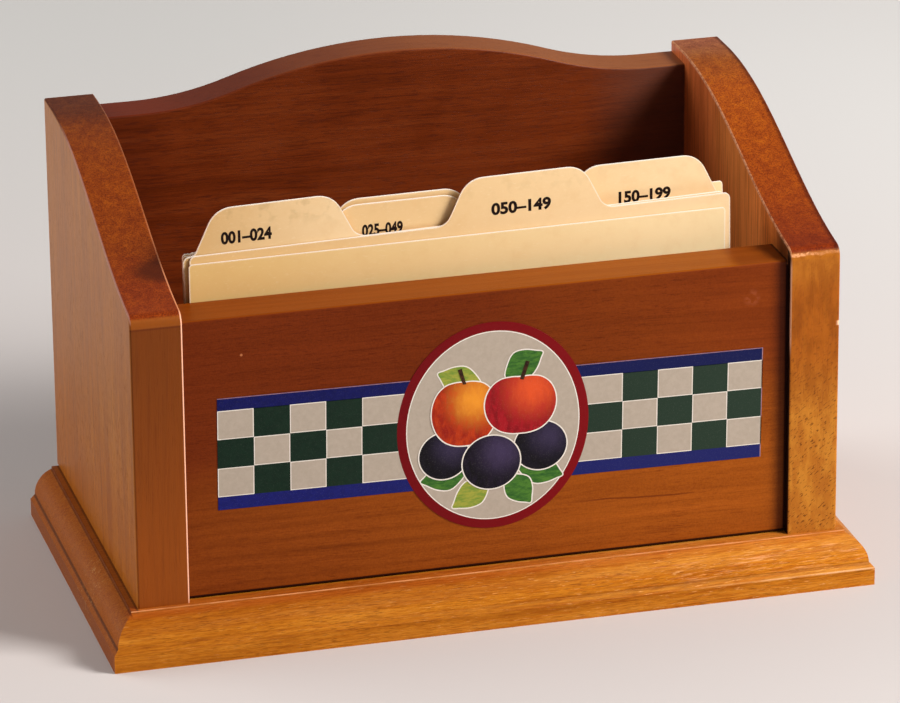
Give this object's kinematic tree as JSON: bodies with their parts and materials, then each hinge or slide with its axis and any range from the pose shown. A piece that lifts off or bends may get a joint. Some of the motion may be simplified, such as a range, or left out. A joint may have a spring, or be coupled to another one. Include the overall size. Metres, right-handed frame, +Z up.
{
  "type": "recipe card box",
  "caption": "Open-topped wooden desk box with curved sides, a crowned back panel and a moulded base; index cards and tabbed dividers stand in it and lift out.",
  "frame": {"origin": "on the surface that the box stands on, under the middle of its bounding box", "axes": "+X to the right as seen from the front, +Y towards the back panel, +Z up"},
  "size_m": [0.1804, 0.0992, 0.1117],
  "materials": {
    "base_wood": "satin",
    "side_wood": "satin",
    "panel_wood": "satin",
    "dowel_wood": "matte",
    "screw_steel": "satin",
    "decal_print": "satin",
    "recipe_card": "matte",
    "divider_card": "matte"
  },
  "bodies": {
    "box": {"base_board": "base_wood", "left_side": "side_wood", "right_side": "side_wood", "back_panel": "panel_wood", "front_panel": "panel_wood", "front_panel_dowels": "dowel_wood", "back_panel_dowels": "dowel_wood", "base_screws": "screw_steel", "front_decal": "decal_print"},
    "recipe_card_1": {"recipe_card_1": "recipe_card"},
    "divider_tab_3": {"divider_tab_3": "divider_card"},
    "divider_tab_1": {"divider_tab_1": "divider_card"},
    "recipe_card_2": {"recipe_card_2": "recipe_card"},
    "divider_tab_2": {"divider_tab_2": "divider_card"},
    "recipe_card_3": {"recipe_card_3": "recipe_card"},
    "divider_tab_2_rear": {"divider_tab_2_rear": "divider_card"},
    "recipe_card_4": {"recipe_card_4": "recipe_card"},
    "divider_tab_4": {"divider_tab_4": "divider_card"},
    "recipe_card_5": {"recipe_card_5": "recipe_card"},
    "recipe_card_6": {"recipe_card_6": "recipe_card"},
    "recipe_card_7": {"recipe_card_7": "recipe_card"}
  },
  "joints": [
    {"name": "lift_recipe_card_1", "type": "slide", "parent": "box", "child": "recipe_card_1", "axis": [0, 0, 1], "range_m": [0, 0.105]},
    {"name": "lift_divider_tab_3", "type": "slide", "parent": "box", "child": "divider_tab_3", "axis": [0, 0, 1], "range_m": [0, 0.105]},
    {"name": "lift_divider_tab_1", "type": "slide", "parent": "box", "child": "divider_tab_1", "axis": [0, 0, 1], "range_m": [0, 0.105]},
    {"name": "lift_recipe_card_2", "type": "slide", "parent": "box", "child": "recipe_card_2", "axis": [0, 0, 1], "range_m": [0, 0.105]},
    {"name": "lift_divider_tab_2", "type": "slide", "parent": "box", "child": "divider_tab_2", "axis": [0, 0, 1], "range_m": [0, 0.105]},
    {"name": "lift_recipe_card_3", "type": "slide", "parent": "box", "child": "recipe_card_3", "axis": [0, 0, 1], "range_m": [0, 0.105]},
    {"name": "lift_divider_tab_2_rear", "type": "slide", "parent": "box", "child": "divider_tab_2_rear", "axis": [0, 0, 1], "range_m": [0, 0.105]},
    {"name": "lift_recipe_card_4", "type": "slide", "parent": "box", "child": "recipe_card_4", "axis": [0, 0, 1], "range_m": [0, 0.105]},
    {"name": "lift_divider_tab_4", "type": "slide", "parent": "box", "child": "divider_tab_4", "axis": [0, 0, 1], "range_m": [0, 0.105]},
    {"name": "lift_recipe_card_5", "type": "slide", "parent": "box", "child": "recipe_card_5", "axis": [0, 0, 1], "range_m": [0, 0.105]},
    {"name": "lift_recipe_card_6", "type": "slide", "parent": "box", "child": "recipe_card_6", "axis": [0, 0, 1], "range_m": [0, 0.105]},
    {"name": "lift_recipe_card_7", "type": "slide", "parent": "box", "child": "recipe_card_7", "axis": [0, 0, 1], "range_m": [0, 0.105]}
  ]
}
